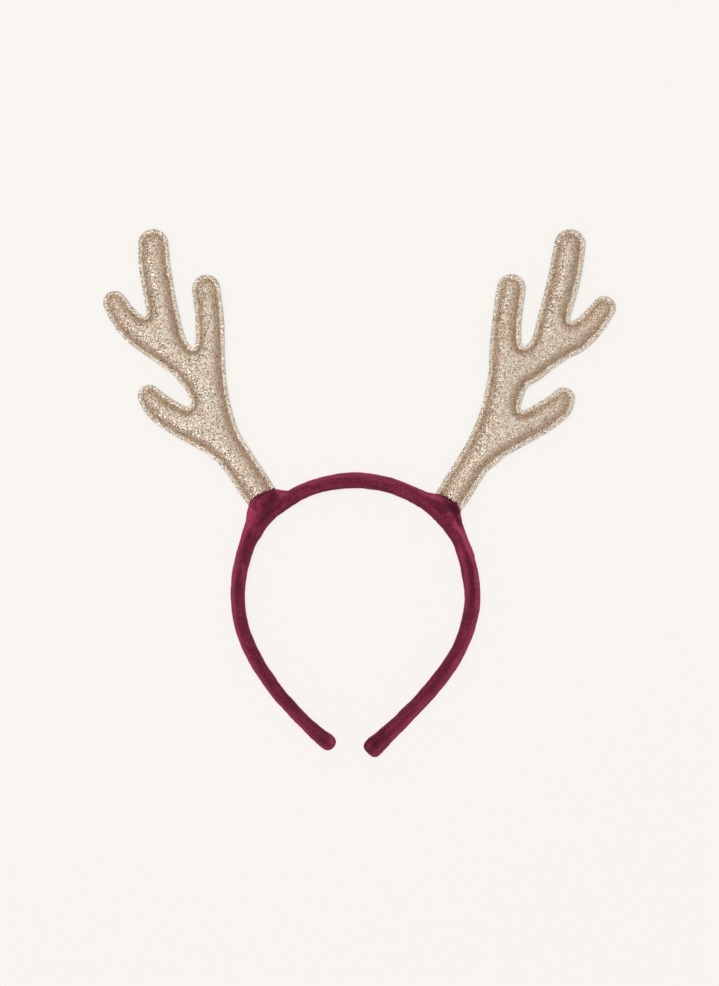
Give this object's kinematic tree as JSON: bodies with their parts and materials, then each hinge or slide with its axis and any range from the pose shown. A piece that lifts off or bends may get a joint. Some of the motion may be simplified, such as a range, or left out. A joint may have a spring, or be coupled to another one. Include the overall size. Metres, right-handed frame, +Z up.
{
  "type": "reindeer antler headband",
  "caption": "Festive alice band covered in padded velvet, with two soft branching antlers of glitter cloth that stand in sleeves of the band's own cloth",
  "frame": {"origin": "on the surface that the headband lies on, under the middle of its box", "axes": "X runs across the head from the left antler to the right one as seen from above, Y from the tips of the band towards the antlers' tips, Z up out of the surface that it lies on"},
  "size_m": [0.267, 0.2746, 0.012],
  "materials": {
    "velvet": "napped",
    "glitter_cloth": "glitter"
  },
  "bodies": {
    "root": {"velvet_band": "velvet", "antler_left_front": "glitter_cloth", "antler_left_back": "glitter_cloth", "antler_right_front": "glitter_cloth", "antler_right_back": "glitter_cloth"}
  },
  "joints": []
}
